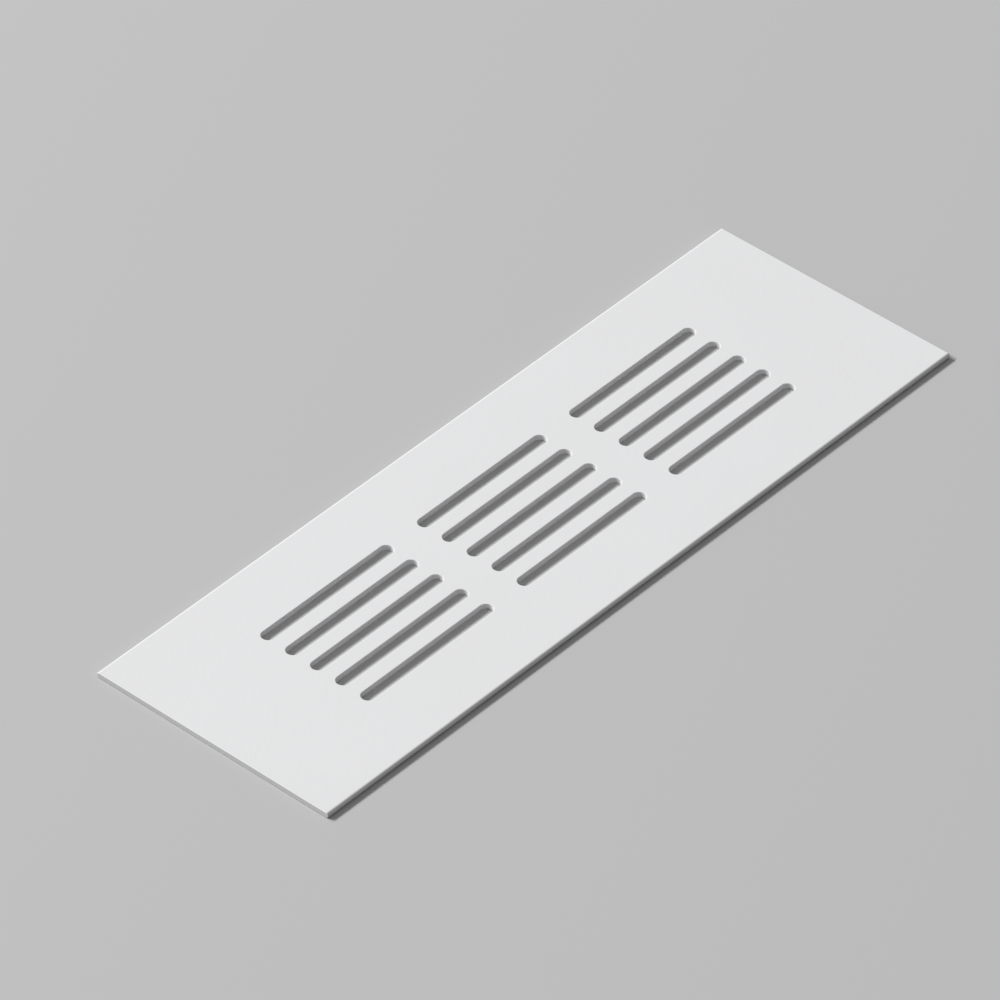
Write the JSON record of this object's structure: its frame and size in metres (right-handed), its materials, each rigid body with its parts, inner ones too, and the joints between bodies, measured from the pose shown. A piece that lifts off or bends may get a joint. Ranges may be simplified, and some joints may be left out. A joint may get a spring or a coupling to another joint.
{
  "type": "ventilation grille",
  "caption": "Flat rectangular ventilation grille: a thin white powder-coated aluminium plate with rounded long edges, pierced by groups of long slots with round ends.",
  "frame": {"origin": "centre of the flat back face, on which the plate lies", "axes": "+X along the plate and its slots, +Y across its width, +Z out of the front face"},
  "size_m": [0.3, 0.1, 0.0022],
  "materials": {
    "white_powder_coat": "satin"
  },
  "bodies": {
    "root": {"grille_plate": "white_powder_coat"}
  },
  "joints": []
}
